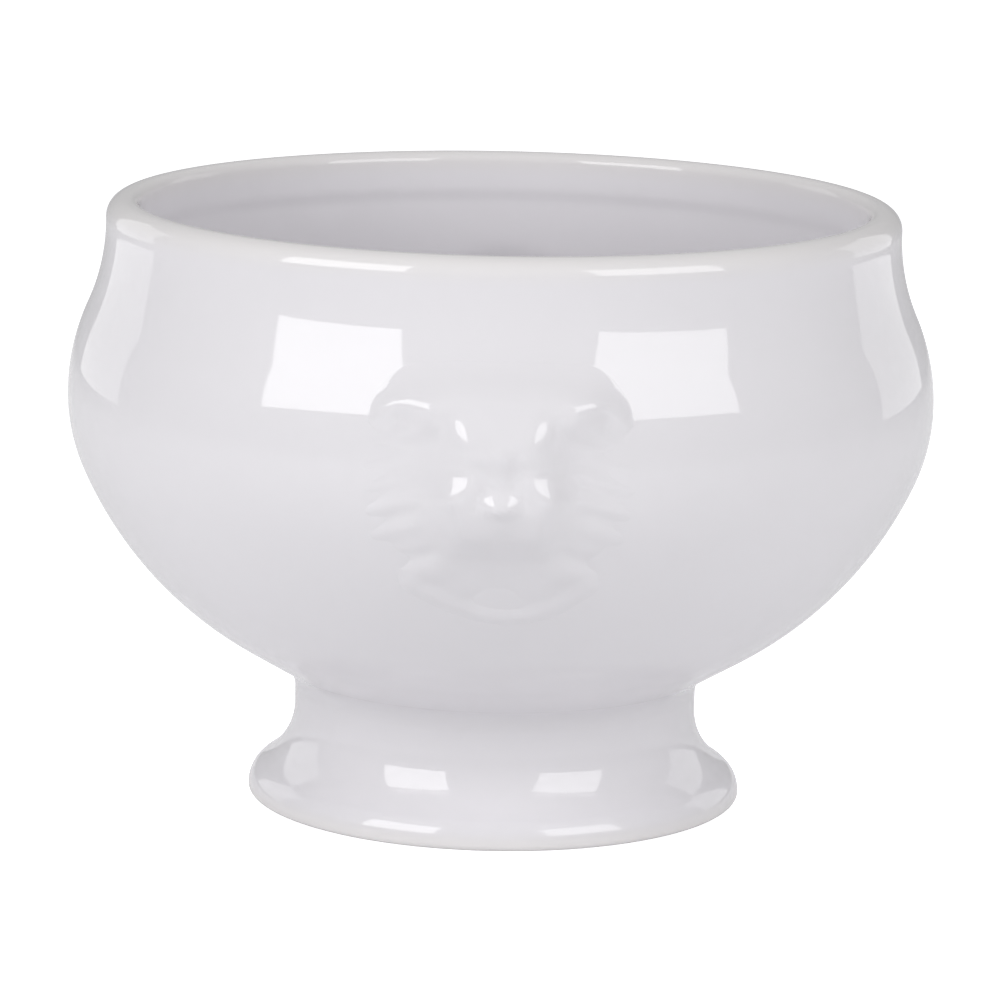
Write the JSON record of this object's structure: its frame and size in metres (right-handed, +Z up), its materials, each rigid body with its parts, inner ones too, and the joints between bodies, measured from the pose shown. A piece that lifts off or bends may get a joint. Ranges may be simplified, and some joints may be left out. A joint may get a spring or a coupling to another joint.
{
  "type": "footed soup crock",
  "caption": "Round-bellied white porcelain soup crock on a flared hollow foot, with a lion mask on the front and back walls.",
  "frame": {"origin": "centre of the foot's resting ring, at the level of the table", "axes": "+Z up along the axis of the bowl, +Y from the front lion mask towards the rear one"},
  "size_m": [0.1334, 0.1496, 0.093],
  "materials": {
    "bowl_glaze": "gloss",
    "foot_glaze": "gloss",
    "mask_glaze": "gloss"
  },
  "bodies": {
    "root": {"bowl_body": "bowl_glaze", "pedestal_foot": "foot_glaze", "foot_luting_slip": "bowl_glaze", "lion_mask_front": "mask_glaze", "lion_mask_rear": "mask_glaze"}
  },
  "joints": []
}
